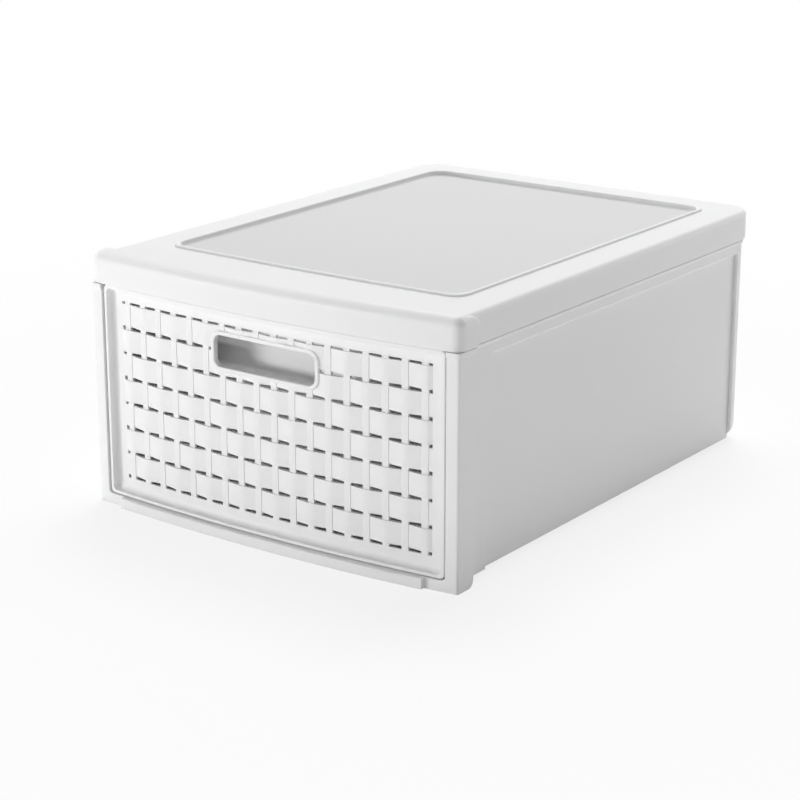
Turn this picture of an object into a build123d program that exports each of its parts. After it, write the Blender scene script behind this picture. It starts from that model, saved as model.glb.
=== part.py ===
"""Stackable storage box with one woven-front drawer, in millimetres.

X runs to the right seen from the front, Y to the back and Z up. The origin is on the floor,
under the middle of the box. The whole front is bowed, so the front faces of the fascia, the
frame and the drawer are arcs about one upright axis far behind the box.
"""
import os
from math import sqrt

from build123d import *

# Overall size
width = 340.0  # across the front fascia
depth = 450.0  # from the apron's crown to the back of the top cover
height = 200.0  # from the floor to the top of the fascia
front_bow = 9.0  # how far the middle of the front stands ahead of its ends

# Walls and clearances
wall = 2.4  # moulded wall of the case
drawer_wall = 2.2  # moulded wall of the drawer
fit = 0.2  # between fixed pieces that lap each other
lap = 0.3  # between the fascia or the cover and what it laps
slide = 0.3  # between the drawer and its runners
rear_slide = 0.4  # between the closed drawer and the back panel

# Front fascia
fascia_height = 24.5
fascia_return = 23.5  # side leg, back from the end of the bowed front
fascia_flange = 22.0  # top leg, back from the crown
fascia_corner = 8.4
fascia_edge = 8.0
leg_edge = 1.6  # rear edge of each side leg
return_corner = 9.0  # sweep at the top rear of each side leg
crest = 2.0  # the fascia's top stands this far above the cover

# Top cover
side_step = 5.6  # each side of the cover stands this far inside the fascia
skirt_height = 23.3
cover_corner = 22.0
cover_edge = 4.2
lip_side = 28.9  # from the cover's side to the outside of the tray's lip
lip_front = 56.0  # from the crown of the front to the outside of the lip
lip_back = 30.0
lip_bow = 3.0
lip_width = 2.8
lip_rise = 1.9
lip_corner = 12.5
lip_round = 0.9
tray_corner = 14.5
tray_depth = 4.6  # from the lip's top to the tray's floor
tray_cove = 2.6

# Front frame
post_width = 10.2
post_set_in = 1.0  # the post's side stands this far inside the fascia's
post_return = 19.5  # side wall, back from the end of the bowed front
post_corner = 2.0
post_edge = 1.6  # rear edge of each post
post_flange = 1.8  # inner wall of each post
flange_depth = 12.5  # inner wall, back from the end of the bowed front
foot_round = 6.0  # at the rear of each front foot
collar_height = 4.2
collar_corner = 4.0
collar_edge = 0.8
rail_height = 8.2  # bottom rail
opening_corner = 3.5
opening_edge = 0.8  # front edge of each post beside the opening
top_gap = 0.7  # the opening's top above the fascia's lower edge
rail_set_in = 3.6  # the hidden top rail stands this far behind the bowed front
apron_proud = 3.5
apron_end = 27.0  # from the post's side to the apron's end
apron_edge = 1.0

# Side, back and base panels
panel_lift = 3.5  # lower edge of the panels above the floor
panel_wall = 2.4
field_sunk = 3.0  # the field lies this far inside the panel's front and top margins
field_front = 46.0  # from the end of the bowed front to the field
field_top = 35.5  # from the cover's rim down to the field
field_corner = 8.0
field_edge = 1.2
band_gap = 1.9  # between the cover's skirt and the band below it
band_height = 2.2
band_proud = 1.0  # the band stands this far outside the side and back panels
band_edge = 0.8
back_run = 0.7  # straight part of the back panel's turned-in sides
heel_round = 11.0  # lower rear corner of the box
runner_width = 8.0
runner_inset = 45.0  # from the side panel to the runner
rear_foot_length = 40.0
rear_foot_width = 16.0
rear_foot_inset = 28.0  # from the base's side and rear to the foot
rear_foot_corner = 4.0

# Drawer front
drawer_gap = 1.5  # between the drawer front and each post
drawer_lift = 0.6  # between the drawer front and the bottom rail
drawer_drop = 0.5  # between the drawer front and the fascia's lower edge
drawer_set_in = 1.2  # the rim's front stands this far behind the fascia's
rim_wall = 2.5
rim_corner = 3.5
weave_sunk = 7.7  # from the fascia's front to the woven panel
weave_wall = 2.0
rim_edge = 0.8
recess_corner = 4.4
cove = 4.0  # round between the rim and the woven panel
weave_side = 13.7  # from the drawer front's side to the weave
weave_top = 12.1  # from the drawer front's top to the weave
weave_bottom = 13.1
strip_count = 18  # upright strips
strap_count = 7  # level straps
strip_width = 5.5
end_slot_width = 3.2  # short slot beside the first and last strip
slot_height = 2.8
top_slot_height = 1.8
strip_proud = 0.5
strap_rise = 1.6  # where a strap passes over the edges of a strip
strap_crest = 1.8  # over the middle of a strip

# Hand hole
hole_width = 93.2
hole_height = 24.0
hole_corner = 6.0
bezel_width = 3.2
bezel_proud = 2.4
bezel_edge = 0.8

# Drawer bin
bin_front = 24.5  # from the end of the bowed front to the bin's front wall
bin_side_gap = 6.1  # between the bin's wall and the side panel
bin_drop = 13.2  # from the drawer front's top to the bin's rim
bin_corner = 13.0
bin_floor_round = 4.0
bin_rim_width = 2.5
bin_rim_height = 2.2

# Drawer stops
travel = 300.0  # how far the drawer slides out
stop_gap = 0.5
stop_bump = 4.6  # how far each side panel's stop stands in
stop_rib = 2.3  # how far each of the bin's stops stands out
stop_thick = 3.5
stop_height = 60.0
stop_low = 60.0  # from the floor to the stops
stop_front = 36.0  # from the end of the bowed front to the side panel's stop

# Bowed front
half_width = width / 2
back_y = depth / 2
crown_y = -depth / 2 + apron_proud
end_y = crown_y + front_bow
bow_radius = (half_width**2 + front_bow**2) / (2 * front_bow)
bow_centre = crown_y + bow_radius

# Fascia and cover
fascia_z = height - fascia_height
fascia_end = end_y + fascia_return
flange_end = crown_y + fascia_flange
rim_z = height - crest
plate_z = rim_z - wall
skirt_z = rim_z - skirt_height
cover_half = half_width - side_step
tray_z = rim_z + lip_rise - tray_depth

# Front frame
post_half = half_width - post_set_in
post_top = fascia_z - lap
post_back = end_y + post_return
opening_half = post_half - post_width
opening_top = fascia_z + top_gap
flange_half = opening_half + post_flange
flange_back = end_y + flange_depth
apron_half = post_half - apron_end

# Side, back and base panels
panel_out = cover_half - wall - fit
panel_in = panel_out - panel_wall
field_in = panel_in - field_sunk
panel_top = plate_z - fit
band_z = skirt_z - band_gap - band_height
panel_front = flange_back + fit
back_out = back_y - wall - lap
back_in = back_out - wall
back_corner = cover_corner - wall - lap
back_half = panel_out - field_sunk - fit
back_front = back_out - back_corner - back_run
panel_back = back_front - fit
base_half = field_in - fit
base_top = panel_lift + wall

# Drawer front
drawer_half = opening_half - drawer_gap
drawer_z = rail_height + drawer_lift
drawer_top = fascia_z - drawer_drop
drawer_middle = (drawer_z + drawer_top) / 2
weave_half = drawer_half - weave_side
weave_low = drawer_z + weave_bottom
weave_high = drawer_top - weave_top
weave_back = weave_sunk + weave_wall
strip_pitch = (2 * (weave_half - end_slot_width) - strip_width) / (strip_count - 1)
slots_height = top_slot_height + strap_count * slot_height
strap_height = (weave_high - weave_low - slots_height) / strap_count
hole_z = weave_high - top_slot_height - strap_height - slot_height / 2

# Drawer bin and stops
bin_y = end_y + bin_front
bin_half = panel_in - bin_side_gap
bin_top = drawer_top - bin_drop
bin_back = back_in - rear_slide - bin_rim_width
runner_top = drawer_z - slide
bump_front = end_y + stop_front
bump_back = bump_front + stop_thick
rib_front = bump_back + travel + stop_gap
stop_high = stop_low + stop_height


def front_y(x, inset=0.0):
    """Y of the bowed front at x, set back by inset along the bow's radius."""
    return bow_centre - sqrt((bow_radius - inset) ** 2 - x**2)


def front_arc(left, right, inset):
    """Arc of the bowed front between two X places."""
    middle = (left + right) / 2
    ThreePointArc(
        (left, front_y(left, inset)),
        (middle, front_y(middle, inset)),
        (right, front_y(right, inset)),
    )


def bowed_block(half, inset, rear):
    """Face from the bowed front back to a straight rear edge."""
    with BuildLine() as outline:
        front_arc(-half, half, inset)
        Polyline((half, front_y(half, inset)), (half, rear), (-half, rear), (-half, front_y(half, inset)))
    return make_face(outline.edges())


def bowed_strip(left, right, front_inset, rear_inset):
    """Face between two arcs of the bowed front."""
    with BuildLine() as outline:
        front_arc(left, right, front_inset)
        Line((right, front_y(right, front_inset)), (right, front_y(right, rear_inset)))
        front_arc(right, left, rear_inset)
        Line((left, front_y(left, rear_inset)), (left, front_y(left, front_inset)))
    return make_face(outline.edges())


def box_between(low, high, mode=Mode.ADD):
    """Box given by two opposite corners."""
    middle = tuple((a + b) / 2 for a, b in zip(low, high))
    with Locations(middle):
        Box(*(b - a for a, b in zip(low, high)), mode=mode)


def tray_outline(margin, corner):
    """Face of the stacking tray's outline, drawn in by margin."""
    side = cover_half - lip_side - margin
    front_middle = crown_y + lip_front + margin
    front_end = front_middle + lip_bow
    rear = back_y - lip_back - margin
    with BuildLine() as outline:
        ThreePointArc((-side, front_end), (0, front_middle), (side, front_end))
        Polyline((side, front_end), (side, rear), (-side, rear), (-side, front_end))
    face = make_face(outline.edges())
    fillet(face.vertices(), corner)


def field_outline(margin):
    """Face of a side panel's field, widened by margin at its front and top."""
    front = end_y + field_front - margin
    top = rim_z - field_top + margin
    with BuildLine() as outline:
        Polyline((front, panel_lift), (front, top), (panel_back, top), (panel_back, panel_lift), close=True)
    face = make_face(outline.edges())
    fillet(face.vertices().group_by(Axis.Y)[-1].sort_by(Axis.X)[0], field_corner + margin)


def strip_left(strip):
    """X of the left edge of an upright strip, counted from 0 at the left."""
    return (strip - (strip_count - 1) / 2) * strip_pitch - strip_width / 2


def strap_outline(first_on_top):
    """Plan of one level strap, which passes under every second strip and swells over the others."""

    def place(x, proud):
        return (x, front_y(x, weave_sunk - proud))

    with BuildLine() as outline:
        reached = place(-weave_half, 0)
        for strip in range(strip_count):
            left = strip_left(strip)
            right = left + strip_width
            if strip % 2 == first_on_top:
                passed = place(right, 0)
                Polyline(reached, place(left, 0), place(left, strip_proud), place(right, strip_proud), passed)
            else:
                passed = place(right, strap_rise)
                Line(reached, place(left, strap_rise))
                ThreePointArc(place(left, strap_rise), place((left + right) / 2, strap_crest), passed)
            reached = passed
        Polyline(reached, place(weave_half, 0), (weave_half, front_y(weave_half, weave_back)))
        front_arc(weave_half, -weave_half, weave_back)
        Line((-weave_half, front_y(weave_half, weave_back)), place(-weave_half, 0))
    make_face(outline.edges())


# Front fascia: a bowed cap over the front of the cover, with a leg back along each side
with BuildPart() as fascia_space:
    with BuildSketch(Plane.XY.offset(fascia_z)):
        room = bowed_block(half_width - wall, wall, fascia_end - wall)
        fillet(room.vertices().group_by(Axis.Y)[0], fascia_corner - wall)
    extrude(amount=rim_z - fascia_z)
    fillet(fascia_space.faces().sort_by(Axis.Z)[-1].edges().sort_by(Axis.Y)[:-1], fascia_edge - wall)
    # The legs are solid under their sweep
    box_between(
        (-half_width, flange_end - wall, rim_z - return_corner),
        (half_width, fascia_end, height),
        Mode.SUBTRACT,
    )

with BuildPart() as front_fascia:
    with BuildSketch(Plane.XY.offset(fascia_z)):
        cap = bowed_block(half_width, 0, fascia_end)
        fillet(cap.vertices().group_by(Axis.Y)[0], fascia_corner)
    extrude(amount=fascia_height)
    # The top leg is shorter than the side legs, with a sweep between them
    with BuildSketch(Plane.YZ):
        with BuildLine():
            Line((flange_end, rim_z), (flange_end, height + crest))
            Line((flange_end, height + crest), (fascia_end + crest, height + crest))
            Line((fascia_end + crest, height + crest), (fascia_end + crest, rim_z - return_corner))
            Line((fascia_end + crest, rim_z - return_corner), (fascia_end, rim_z - return_corner))
            Bezier((fascia_end, rim_z - return_corner), (fascia_end, rim_z), (flange_end, rim_z))
        make_face()
    extrude(amount=width, both=True, mode=Mode.SUBTRACT)
    top_edges = front_fascia.faces().sort_by(Axis.Z)[-1].edges()
    fillet(top_edges.sort_by(Axis.Y)[:-1], fascia_edge)
    fillet(front_fascia.edges().filter_by(Axis.Z).group_by(Axis.Y)[-1], leg_edge)
    # Space for the cover and the frame's top rail
    add(fascia_space.part, mode=Mode.SUBTRACT)
    with BuildSketch(Plane.XY.offset(fascia_z)):
        bowed_block(cover_half + fit, fascia_corner, fascia_end + wall)
    extrude(amount=rim_z - fascia_z, mode=Mode.SUBTRACT)
front_fascia.part.label = "front_fascia"

# Top cover: a shallow lid with a skirt at the sides and back and a lipped tray for stacking
with BuildPart() as tray_space:
    with BuildSketch(Plane.XY.offset(tray_z)):
        tray_outline(lip_width, tray_corner)
    extrude(amount=tray_depth + crest)
    fillet(tray_space.faces().sort_by(Axis.Z)[0].edges(), tray_cove)

with BuildPart() as top_cover:
    with BuildSketch(Plane.XY.offset(skirt_z)):
        lid = bowed_block(cover_half, fascia_corner, back_y)
        fillet(lid.vertices().group_by(Axis.Y)[-1], cover_corner)
    extrude(amount=skirt_height)
    rim_edges = top_cover.faces().sort_by(Axis.Z)[-1].edges()
    fillet(rim_edges.sort_by(Axis.Y)[1:], cover_edge)
    with BuildSketch(Plane.XY.offset(skirt_z)):
        under = bowed_block(cover_half - wall, 0, back_y - wall)
        fillet(under.vertices().group_by(Axis.Y)[-1], cover_corner - wall)
    extrude(amount=skirt_height - wall, mode=Mode.SUBTRACT)
    # The skirt clears the tops of the posts
    box_between((-half_width, crown_y, 0), (half_width, post_back + fit, post_top + fit), Mode.SUBTRACT)
    with BuildSketch(Plane.XY.offset(tray_z - wall)):
        tray_outline(lip_width - wall, tray_corner)
    extrude(amount=plate_z - tray_z + wall)
    with BuildSketch(Plane.XY.offset(rim_z)):
        tray_outline(0, lip_corner)
    extrude(amount=lip_rise)
    add(tray_space.part, mode=Mode.SUBTRACT)
    fillet(top_cover.faces().sort_by(Axis.Z)[-1].edges(), lip_round)
top_cover.part.label = "top_cover"

# Front frame: two channel posts on feet, a bottom rail with its apron and a hidden top rail
with BuildPart() as apron:
    with BuildSketch():
        bowed_strip(-apron_half, apron_half, -apron_proud, wall)
    extrude(amount=rail_height)
    fillet(apron.faces().sort_by(Axis.Z)[-1].edges().sort_by(Axis.Y)[0], apron_edge)

with BuildPart() as collar:
    with BuildSketch(Plane.XY.offset(post_top - collar_height)):
        band = bowed_block(half_width, -post_set_in, post_back)
        fillet(band.vertices().group_by(Axis.Y)[0], collar_corner)
    extrude(amount=collar_height)
    fillet(collar.faces().sort_by(Axis.Z)[0].edges().sort_by(Axis.Y)[:-1], collar_edge)

with BuildPart() as front_frame:
    with BuildSketch():
        block = bowed_block(post_half, 0, post_back)
        fillet(block.vertices().group_by(Axis.Y)[0], post_corner)
        fillet(block.vertices().group_by(Axis.Y)[-1], post_edge)
    extrude(amount=post_top)
    add(collar.part)
    add(apron.part)
    # Opening for the drawer
    with BuildSketch(Plane.XZ):
        with Locations((0, (rail_height + height) / 2)):
            opening = Rectangle(2 * opening_half, height - rail_height)
        fillet(opening.vertices().group_by(Axis.Y)[0], opening_corner)
    extrude(amount=depth, both=True, mode=Mode.SUBTRACT)
    upright = front_frame.edges().filter_by(Axis.Z).filter_by_position(Axis.X, -opening_half, opening_half)
    front_edges = upright.filter_by_position(Axis.Y, crown_y, end_y).group_by(Axis.X)
    fillet(front_edges[0] + front_edges[-1], opening_edge)
    # Room behind the rail and inside the posts for the side panels
    box_between((-panel_out - fit, flange_back, 0), (panel_out + fit, post_back, height), Mode.SUBTRACT)
    # The rail, the apron and the posts are hollow underneath
    with BuildSketch():
        bowed_strip(-apron_half + wall, apron_half - wall, wall - apron_proud, 2 * wall)
        bowed_block(opening_half - wall, wall, flange_back - wall)
    extrude(amount=rail_height - wall, mode=Mode.SUBTRACT)
    with BuildSketch():
        bowed_block(post_half - wall, wall, post_back - wall)
        with Locations((0, crown_y)):
            Rectangle(2 * flange_half, depth, mode=Mode.SUBTRACT)
    extrude(amount=post_top - wall, mode=Mode.SUBTRACT)
    # Rounded rear of each foot
    with BuildSketch(Plane.YZ):
        with BuildLine():
            Line((post_back - foot_round, 0), (post_back, 0))
            Line((post_back, 0), (post_back, foot_round))
            RadiusArc((post_back, foot_round), (post_back - foot_round, 0), foot_round)
        make_face()
    extrude(amount=width, both=True, mode=Mode.SUBTRACT)
    # Top rail behind the fascia, carried on the posts' inner walls
    with BuildSketch(Plane.XY.offset(post_top - wall)):
        bowed_block(flange_half, rail_set_in, flange_back)
        with Locations((0, crown_y)):
            Rectangle(2 * opening_half, depth, mode=Mode.SUBTRACT)
    extrude(amount=panel_top - post_top + wall)
    with BuildSketch(Plane.XY.offset(opening_top)):
        bowed_strip(-flange_half, flange_half, rail_set_in, rail_set_in + wall)
    extrude(amount=panel_top - opening_top)
front_frame.part.label = "front_frame"

# Side panels: walls with a sunk field that runs out at the rear and the foot, a band and an inner drawer stop
with BuildPart() as side_band:
    box_between(
        (panel_in, post_back + fit, band_z),
        (panel_out + band_proud, panel_back, band_z + band_height),
    )
    fillet(side_band.faces().sort_by(Axis.X)[-1].edges().sort_by(Axis.Z)[0], band_edge)

with BuildPart() as right_side_panel:
    box_between((panel_in, panel_front, panel_lift), (panel_out, panel_back, panel_top))
    with BuildSketch(Plane.YZ.offset(field_in)):
        field_outline(panel_wall)
    extrude(amount=field_sunk)
    box_between((field_in, panel_front, panel_lift), (panel_in, panel_back, base_top))
    with BuildSketch(Plane.YZ.offset(panel_out - field_sunk)):
        field_outline(0)
    extrude(amount=field_sunk, mode=Mode.SUBTRACT)
    margin_edges = right_side_panel.faces().sort_by(Axis.X)[-1].edges()
    inner_edges = margin_edges.filter_by_position(
        Axis.Y, end_y + field_front - field_edge, panel_back - field_edge
    ).filter_by_position(Axis.Z, panel_lift + field_edge, rim_z - field_top + field_edge)
    fillet(inner_edges, field_edge)
    add(side_band.part)
    box_between((panel_in - stop_bump, bump_front, stop_low), (panel_in, bump_back, stop_high))
right_side_panel.part.label = "right_side_panel"

with BuildPart() as left_side_panel:
    mirror(right_side_panel.part, about=Plane.YZ)
left_side_panel.part.label = "left_side_panel"

# Back panel: a shallow tray whose sides and floor turn forward to meet the other panels
with BuildPart() as back_space:
    box_between((-back_half, crown_y, base_top), (back_half, back_in, height))
    fillet(back_space.edges().filter_by(Axis.Z).group_by(Axis.Y)[-1], back_corner - wall)
    floor_edges = back_space.faces().sort_by(Axis.Z)[0].edges()
    fillet(floor_edges.sort_by(Axis.Y)[1:], heel_round - wall)

with BuildPart() as back_band:
    box_between(
        (-panel_out - band_proud, back_front, band_z),
        (panel_out + band_proud, back_out + band_proud, band_z + band_height),
    )
    fillet(back_band.edges().filter_by(Axis.Z).group_by(Axis.Y)[-1], back_corner + band_proud)
    fillet(back_band.faces().sort_by(Axis.Z)[0].edges().sort_by(Axis.Y)[1:], band_edge)

with BuildPart() as back_panel:
    box_between((-panel_out, back_front, panel_lift), (panel_out, back_out, panel_top))
    fillet(back_panel.edges().filter_by(Axis.Z).group_by(Axis.Y)[-1], back_corner)
    floor_edges = back_panel.faces().sort_by(Axis.Z)[0].edges()
    fillet(floor_edges.sort_by(Axis.Y)[1:], heel_round)
    add(back_band.part)
    add(back_space.part, mode=Mode.SUBTRACT)
back_panel.part.label = "back_panel"

# Base panel: the floor between the side panels, with two drawer runners and two rear feet
with BuildPart() as base_panel:
    box_between((-base_half, panel_front, panel_lift), (base_half, panel_back, base_top))
    for side in (-1, 1):
        runner = side * (base_half - runner_inset)
        box_between(
            (runner - runner_width / 2, panel_front, base_top),
            (runner + runner_width / 2, panel_back, runner_top),
        )
        foot_x = side * (base_half - rear_foot_inset)
        with BuildSketch():
            with Locations((foot_x, panel_back - rear_foot_inset)):
                RectangleRounded(rear_foot_width, rear_foot_length, rear_foot_corner)
        extrude(amount=panel_lift)
base_panel.part.label = "base_panel"

# Drawer front: a bowed cap with a rim, a coved recess and a woven panel with a hand hole
with BuildPart() as recess:
    with BuildSketch(Plane.XY.offset(drawer_z + rim_wall)):
        hollow = bowed_strip(rim_wall - drawer_half, drawer_half - rim_wall, -cove, weave_sunk)
        fillet(hollow.vertices().group_by(Axis.Y)[-1], recess_corner)
    extrude(amount=drawer_top - drawer_z - 2 * rim_wall)
    for face in recess.faces().filter_by(Axis.Z):
        fillet(face.edges().sort_by(Axis.Y)[1:], cove)

with BuildPart() as bezel:
    with BuildSketch(Plane.XY.offset(hole_z - hole_height)):
        bowed_strip(-hole_width, hole_width, weave_sunk - bezel_proud, weave_back)
    extrude(amount=2 * hole_height)
    with BuildSketch(Plane.XZ):
        with Locations((0, hole_z)):
            RectangleRounded(
                hole_width + 2 * bezel_width, hole_height + 2 * bezel_width, hole_corner + bezel_width
            )
            RectangleRounded(hole_width, hole_height, hole_corner, mode=Mode.SUBTRACT)
    extrude(amount=depth, both=True, mode=Mode.INTERSECT)
    fillet(bezel.faces().sort_by(Axis.Y)[0].edges(), bezel_edge)

with BuildPart() as drawer_front:
    with BuildSketch(Plane.XY.offset(drawer_z)):
        bowed_block(drawer_half, drawer_set_in, bin_y)
    extrude(amount=drawer_top - drawer_z)
    fillet(drawer_front.edges().filter_by(Axis.Y), rim_corner)
    fillet(drawer_front.faces().sort_by(Axis.Y)[0].edges(), rim_edge)
    add(recess.part, mode=Mode.SUBTRACT)
    with BuildSketch(Plane.XY.offset(drawer_z + rim_wall)):
        bowed_block(drawer_half - rim_wall, weave_back, bin_y)
    extrude(amount=drawer_top - drawer_z - 2 * rim_wall, mode=Mode.SUBTRACT)
    box_between((-weave_half, crown_y, weave_low), (weave_half, bin_y, weave_high), Mode.SUBTRACT)
    # Level straps from the top down, then the upright strips that they pass
    for strap in range(strap_count):
        strap_z = weave_high - top_slot_height - strap_height - strap * (strap_height + slot_height)
        with BuildSketch(Plane.XY.offset(strap_z)):
            strap_outline(strap % 2)
        extrude(amount=strap_height)
    with BuildSketch(Plane.XY.offset(weave_low)):
        for strip in range(strip_count):
            left = strip_left(strip)
            bowed_strip(left, left + strip_width, weave_sunk - strip_proud / 2, weave_back)
    extrude(amount=weave_high - weave_low)
    with BuildSketch(Plane.XZ):
        with Locations((0, hole_z)):
            RectangleRounded(
                hole_width + bezel_width, hole_height + bezel_width, hole_corner + bezel_width / 2
            )
    extrude(amount=depth, both=True, mode=Mode.SUBTRACT)
    add(bezel.part)
drawer_front.part.label = "drawer_front"

# Drawer bin: a tub with a turned-out rim, stops near its rear and a front wall behind the drawer front
with BuildPart() as bin_space:
    box_between(
        (drawer_wall - bin_half, bin_y + drawer_wall, drawer_z + drawer_wall),
        (bin_half - drawer_wall, bin_back - drawer_wall, height),
    )
    fillet(bin_space.edges().filter_by(Axis.Z).group_by(Axis.Y)[-1], bin_corner - drawer_wall)
    fillet(bin_space.faces().sort_by(Axis.Z)[0].edges(), bin_floor_round)

with BuildPart() as drawer_bin:
    box_between((-bin_half, bin_y, drawer_z), (bin_half, bin_back, bin_top))
    fillet(drawer_bin.edges().filter_by(Axis.Z).group_by(Axis.Y)[-1], bin_corner)
    floor_edges = drawer_bin.faces().sort_by(Axis.Z)[0].edges()
    fillet(floor_edges.sort_by(Axis.Y)[1:], bin_floor_round)
    with BuildSketch(Plane.XY.offset(bin_top - bin_rim_height)):
        rim_half = bin_half + bin_rim_width
        rim_back = bin_back + bin_rim_width
        with BuildLine():
            Polyline(
                (-rim_half, bin_y),
                (rim_half, bin_y),
                (rim_half, rim_back),
                (-rim_half, rim_back),
                close=True,
            )
        rim = make_face()
        fillet(rim.vertices().group_by(Axis.Y)[-1], bin_corner + bin_rim_width)
    extrude(amount=bin_rim_height)
    for side in (-1, 1):
        inner, outer = sorted((side * (bin_half - drawer_wall), side * (bin_half + stop_rib)))
        box_between((inner, rib_front, stop_low), (outer, rib_front + stop_thick, stop_high))
    with BuildSketch(Plane.XZ.offset(-bin_y)):
        with Locations((0, drawer_middle)):
            RectangleRounded(2 * drawer_half, drawer_top - drawer_z, rim_corner)
    extrude(amount=-drawer_wall)
    add(bin_space.part, mode=Mode.SUBTRACT)
drawer_bin.part.label = "drawer_bin"

os.makedirs("parts", exist_ok=True)
pieces = (
    front_fascia,
    top_cover,
    front_frame,
    left_side_panel,
    right_side_panel,
    back_panel,
    base_panel,
    drawer_front,
    drawer_bin,
)
for piece in pieces:
    export_step(piece.part, f"parts/{piece.part.label}.step")
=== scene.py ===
"""Looks of the white drawer box: moulded plastic finishes, studio light, floor and camera."""

import math

import bpy
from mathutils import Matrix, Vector


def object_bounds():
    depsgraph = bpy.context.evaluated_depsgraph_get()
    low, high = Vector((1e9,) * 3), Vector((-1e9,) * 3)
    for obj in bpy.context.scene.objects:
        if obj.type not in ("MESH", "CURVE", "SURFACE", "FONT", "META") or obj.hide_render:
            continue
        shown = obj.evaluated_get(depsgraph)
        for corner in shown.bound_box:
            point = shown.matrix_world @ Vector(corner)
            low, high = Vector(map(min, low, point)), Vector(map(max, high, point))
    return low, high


CASE = ("front_fascia", "front_frame", "left_side_panel", "right_side_panel", "back_panel", "base_panel")
COVER = ("top_cover",)
DRAWER = ("drawer_front", "drawer_bin")

# Plastic of every piece, lengths in metres
PLASTIC_IOR = 1.49
SKIN_GLOSS = 0.25
LIGHT_INTO_PLASTIC = 0.3
LIGHT_DEPTH = 0.003
FLOW_SCALE = 9.0
FLOW_DETAIL = 3.0
FLOW_RANGE = (0.3, 0.7)
GRAIN_DETAIL = 4.0
GRAIN_STRENGTH = 0.25

# Case and cover
CASE_WHITE = (0.9, 0.9, 0.902)
CASE_FLOW = (0.886, 0.887, 0.89)
CASE_GRAIN = 900.0
CASE_GRAIN_HEIGHT = 0.00004
CASE_ROUGHNESS = (0.36, 0.46)

# Tray in the cover: its floor has painted shade, a colour darker than the rim's, and a real matt finish
TRAY_DROP = 0.0038  # from the top of the box to just above the tray's floor
TRAY_LEVEL = 0.9  # least upward part of a level face's normal
# painted shade: the tray floor's colour, darker than the rim's, stands in for shade
TRAY_PAINTED_SHADE = (0.7, 0.7, 0.705)
TRAY_ROUGHNESS = 0.6

# Drawer
DRAWER_WHITE = (0.902, 0.901, 0.9)
DRAWER_FLOW = (0.888, 0.888, 0.889)
DRAWER_GRAIN = 1100.0
DRAWER_GRAIN_HEIGHT = 0.00003
DRAWER_ROUGHNESS = (0.32, 0.42)

# Floor and surroundings
FLOOR_RADIUS = 2.4
FLOOR_SIDES = 96
FLOOR_COLOUR = (0.92, 0.92, 0.92)
FADE_START = 0.35  # from the middle of the floor
FADE_END = 0.95
FADE_SHARE = (0.8, 1.0)
WHITE = (1, 1, 1, 1)
ROOM_LIGHT = 0.16

# Camera
CAMERA_PLACE = (0.9908, -1.4158, 0.5956)
CAMERA_TURN = math.radians(35.91)
CAMERA_TILT = math.radians(17.27)
CAMERA_LENS = 101.1
SENSOR_WIDTH = 36.0

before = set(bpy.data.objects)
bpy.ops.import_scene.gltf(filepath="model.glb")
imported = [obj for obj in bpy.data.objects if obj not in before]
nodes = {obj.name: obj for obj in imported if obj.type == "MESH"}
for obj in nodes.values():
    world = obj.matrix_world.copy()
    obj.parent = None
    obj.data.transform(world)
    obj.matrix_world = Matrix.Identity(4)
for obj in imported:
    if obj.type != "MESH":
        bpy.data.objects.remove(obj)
cad_low, cad_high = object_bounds()
bpy.ops.object.select_all(action="DESELECT")
box_middle = Vector((0, 0, cad_high[2] / 2))


def moulded_plastic(name, light, flow_mark, grain_scale, grain_height, roughness):
    """White moulded plastic: faint flow marks, a fine satin grain and light passing into thin walls."""
    material = bpy.data.materials.new(name)
    material.use_nodes = True
    tree = material.node_tree
    shader = tree.nodes["Principled BSDF"]
    shader.inputs["IOR"].default_value = PLASTIC_IOR
    shader.inputs["Specular IOR Level"].default_value = SKIN_GLOSS
    shader.inputs["Subsurface Weight"].default_value = LIGHT_INTO_PLASTIC
    shader.inputs["Subsurface Radius"].default_value = (1.0, 1.0, 1.0)
    shader.inputs["Subsurface Scale"].default_value = LIGHT_DEPTH

    place = tree.nodes.new("ShaderNodeTexCoord")
    flow = tree.nodes.new("ShaderNodeTexNoise")
    flow.inputs["Scale"].default_value = FLOW_SCALE
    flow.inputs["Detail"].default_value = FLOW_DETAIL
    tone = tree.nodes.new("ShaderNodeValToRGB")
    for stop, position, colour in zip(tone.color_ramp.elements, FLOW_RANGE, (flow_mark, light)):
        stop.position = position
        stop.color = (*colour, 1)
    tree.links.new(place.outputs["Object"], flow.inputs["Vector"])
    tree.links.new(flow.outputs["Fac"], tone.inputs["Fac"])
    tree.links.new(tone.outputs["Color"], shader.inputs["Base Color"])

    grain = tree.nodes.new("ShaderNodeTexNoise")
    grain.inputs["Scale"].default_value = grain_scale
    grain.inputs["Detail"].default_value = GRAIN_DETAIL
    tree.links.new(place.outputs["Object"], grain.inputs["Vector"])
    gloss = tree.nodes.new("ShaderNodeMapRange")
    gloss.inputs["To Min"].default_value, gloss.inputs["To Max"].default_value = roughness
    tree.links.new(grain.outputs["Fac"], gloss.inputs["Value"])
    tree.links.new(gloss.outputs["Result"], shader.inputs["Roughness"])

    bump = tree.nodes.new("ShaderNodeBump")
    bump.inputs["Strength"].default_value = GRAIN_STRENGTH
    bump.inputs["Distance"].default_value = grain_height
    tree.links.new(grain.outputs["Fac"], bump.inputs["Height"])
    tree.links.new(bump.outputs["Normal"], shader.inputs["Normal"])
    return material


def compare(tree, kind, value, limit):
    """1 where a value is past a limit, LESS_THAN or GREATER_THAN."""
    test = tree.nodes.new("ShaderNodeMath")
    test.operation = kind
    test.inputs[1].default_value = limit
    tree.links.new(value, test.inputs[0])
    return test.outputs["Value"]


def upright_part(tree, vector):
    """The Z part of a vector."""
    parts = tree.nodes.new("ShaderNodeSeparateXYZ")
    tree.links.new(vector, parts.inputs["Vector"])
    return parts.outputs["Z"]


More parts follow.
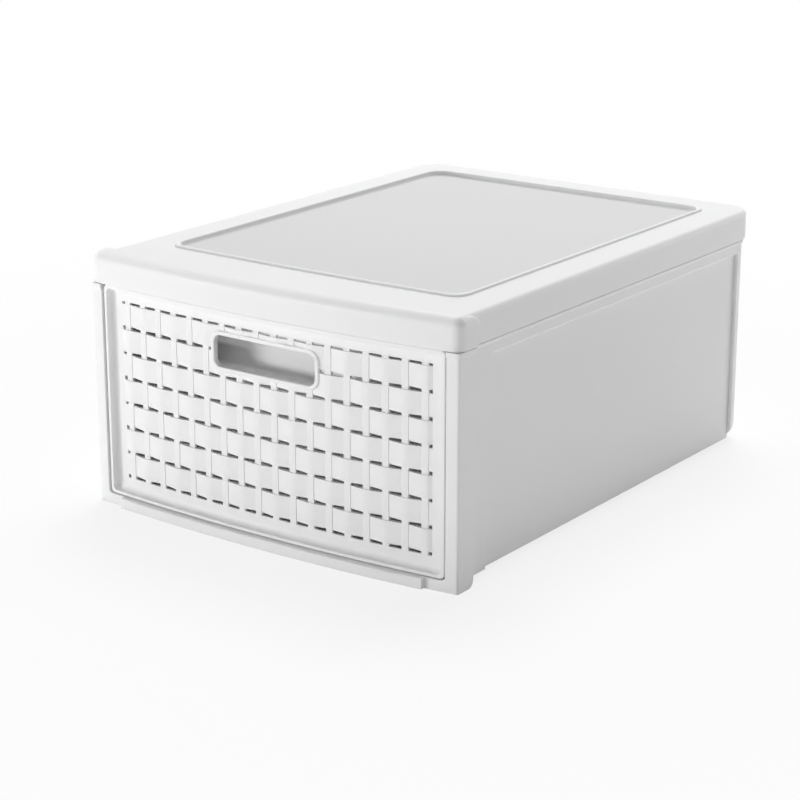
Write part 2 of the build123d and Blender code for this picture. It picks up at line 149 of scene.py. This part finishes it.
def add_matt_tray_with_painted_shade(material, tray_top):
    """Matt floor in the cover's tray with painted shade, a colour darker than the rim's, on what faces up
    below tray_top.
    """
    tree = material.node_tree
    shader = tree.nodes["Principled BSDF"]
    place = tree.nodes.new("ShaderNodeTexCoord")
    surface = tree.nodes.new("ShaderNodeNewGeometry")
    below = compare(tree, "LESS_THAN", upright_part(tree, place.outputs["Object"]), tray_top)
    level = compare(tree, "GREATER_THAN", upright_part(tree, surface.outputs["Normal"]), TRAY_LEVEL)
    tray = tree.nodes.new("ShaderNodeMath")
    tray.operation = "MULTIPLY"
    tree.links.new(below, tray.inputs[0])
    tree.links.new(level, tray.inputs[1])
    # painted shade in the floor's colour; the higher roughness is a real matt finish
    for socket, painted_shade_and_matt in (("Base Color", (*TRAY_PAINTED_SHADE, 1)), ("Roughness", TRAY_ROUGHNESS)):
        plain = shader.inputs[socket].links[0].from_socket
        mix = tree.nodes.new("ShaderNodeMix")
        if socket == "Base Color":
            mix.data_type = "RGBA"
        outside, inside = [i for i in mix.inputs if i.enabled and i.name in "AB"]
        tree.links.new(tray.outputs["Value"], mix.inputs["Factor"])
        tree.links.new(plain, outside)
        inside.default_value = painted_shade_and_matt
        tree.links.new([o for o in mix.outputs if o.enabled][0], shader.inputs[socket])


def finish_pieces(names, material):
    """Give pieces their plastic."""
    for name in names:
        nodes[name].data.materials.clear()
        nodes[name].data.materials.append(material)


def seen_rays(tree):
    """1 for rays that show the surroundings: from the camera, in gloss and through clear pieces."""
    path = tree.nodes.new("ShaderNodeLightPath")
    total = path.outputs["Is Camera Ray"]
    for ray in ("Is Glossy Ray", "Is Transmission Ray"):
        either = tree.nodes.new("ShaderNodeMath")
        either.operation = "MAXIMUM"
        tree.links.new(total, either.inputs[0])
        tree.links.new(path.outputs[ray], either.inputs[1])
        total = either.outputs["Value"]
    return total


def studio_floor():
    """Round pale floor that keeps a soft shadow and fades into the white surroundings."""
    bpy.ops.mesh.primitive_circle_add(
        vertices=FLOOR_SIDES, radius=FLOOR_RADIUS, fill_type="NGON", location=(0, 0, 0))
    floor = bpy.context.object
    floor.name = "studio_floor"
    material = bpy.data.materials.new("pale_floor")
    material.use_nodes = True
    tree = material.node_tree
    tree.nodes.remove(tree.nodes["Principled BSDF"])
    matt = tree.nodes.new("ShaderNodeBsdfDiffuse")
    matt.inputs["Color"].default_value = (*FLOOR_COLOUR, 1)
    glow = tree.nodes.new("ShaderNodeEmission")
    place = tree.nodes.new("ShaderNodeTexCoord")
    reach = tree.nodes.new("ShaderNodeVectorMath")
    reach.operation = "LENGTH"
    whiten = tree.nodes.new("ShaderNodeMapRange")
    whiten.inputs["From Min"].default_value = FADE_START
    whiten.inputs["From Max"].default_value = FADE_END
    whiten.inputs["To Min"].default_value, whiten.inputs["To Max"].default_value = FADE_SHARE
    share = tree.nodes.new("ShaderNodeMath")
    share.operation = "MULTIPLY"
    blend = tree.nodes.new("ShaderNodeMixShader")
    tree.links.new(place.outputs["Object"], reach.inputs[0])
    tree.links.new(reach.outputs["Value"], whiten.inputs["Value"])
    tree.links.new(seen_rays(tree), share.inputs[0])
    tree.links.new(whiten.outputs["Result"], share.inputs[1])
    tree.links.new(share.outputs["Value"], blend.inputs["Fac"])
    tree.links.new(matt.outputs["BSDF"], blend.inputs[1])
    tree.links.new(glow.outputs["Emission"], blend.inputs[2])
    tree.links.new(blend.outputs["Shader"], tree.nodes["Material Output"].inputs["Surface"])
    floor.data.materials.append(material)


def studio_world():
    """Even grey surroundings that show white behind the box."""
    world = bpy.data.worlds.new("studio")
    bpy.context.scene.world = world
    world.use_nodes = True
    tree = world.node_tree
    room = tree.nodes["Background"]
    room.inputs["Color"].default_value = WHITE
    room.inputs["Strength"].default_value = ROOM_LIGHT
    white = tree.nodes.new("ShaderNodeBackground")
    white.inputs["Color"].default_value = WHITE
    blend = tree.nodes.new("ShaderNodeMixShader")
    tree.links.new(seen_rays(tree), blend.inputs["Fac"])
    tree.links.new(room.outputs["Background"], blend.inputs[1])
    tree.links.new(white.outputs["Background"], blend.inputs[2])
    tree.links.new(blend.outputs["Shader"], tree.nodes["World Output"].inputs["Surface"])


def softbox(name, place, across, tall, power):
    """Area lamp aimed at the middle of the box, out of the picture from every side."""
    lamp = bpy.data.lights.new(name, "AREA")
    lamp.shape = "RECTANGLE"
    lamp.size = across
    lamp.size_y = tall
    lamp.energy = power
    holder = bpy.data.objects.new(name, lamp)
    bpy.context.collection.objects.link(holder)
    holder.location = place
    holder.rotation_euler = (box_middle - Vector(place)).to_track_quat("-Z", "Y").to_euler()
    holder.visible_camera = False


def studio_lamps():
    """Large light above and behind, a low key at the left front and weak fills around the box."""
    softbox("top_light", place=(-0.7, 1.5, 3.4), across=2.4, tall=2.4, power=119)
    softbox("left_key", place=(-1.1, -1.7, 0.18), across=0.9, tall=0.3, power=17)
    softbox("front_high", place=(0.2, -2.2, 1.3), across=1.2, tall=1.2, power=4)
    softbox("camera_fill", place=(1.2, -1.75, 0.75), across=0.9, tall=0.9, power=2)
    softbox("right_fill", place=(2.2, -0.1, 0.08), across=1.4, tall=0.12, power=1.5)
    softbox("rear_fill", place=(1.2, 1.8, 0.15), across=1.2, tall=0.2, power=8)


def photo_camera():
    """Camera at the photograph's angle: to the right of the front and a little above."""
    data = bpy.data.cameras.new("photo_camera")
    data.sensor_width = SENSOR_WIDTH
    data.lens = CAMERA_LENS
    camera = bpy.data.objects.new("photo_camera", data)
    bpy.context.collection.objects.link(camera)
    camera.location = CAMERA_PLACE
    level = math.cos(CAMERA_TILT)
    ahead = Vector((-math.sin(CAMERA_TURN) * level, math.cos(CAMERA_TURN) * level, -math.sin(CAMERA_TILT)))
    camera.rotation_euler = ahead.to_track_quat("-Z", "Y").to_euler()
    bpy.context.scene.camera = camera


case_plastic = moulded_plastic(
    "case_plastic", CASE_WHITE, CASE_FLOW, CASE_GRAIN, CASE_GRAIN_HEIGHT, CASE_ROUGHNESS)
cover_plastic = moulded_plastic(
    "cover_plastic", CASE_WHITE, CASE_FLOW, CASE_GRAIN, CASE_GRAIN_HEIGHT, CASE_ROUGHNESS)
# painted shade on the tray's floor, with a real matt finish
add_matt_tray_with_painted_shade(cover_plastic, cad_high[2] - TRAY_DROP)
drawer_plastic = moulded_plastic(
    "drawer_plastic", DRAWER_WHITE, DRAWER_FLOW, DRAWER_GRAIN, DRAWER_GRAIN_HEIGHT, DRAWER_ROUGHNESS)
finish_pieces(CASE, case_plastic)
finish_pieces(COVER, cover_plastic)
finish_pieces(DRAWER, drawer_plastic)

studio_floor()
studio_world()
studio_lamps()
photo_camera()
bpy.context.scene.view_settings.view_transform = "Standard"
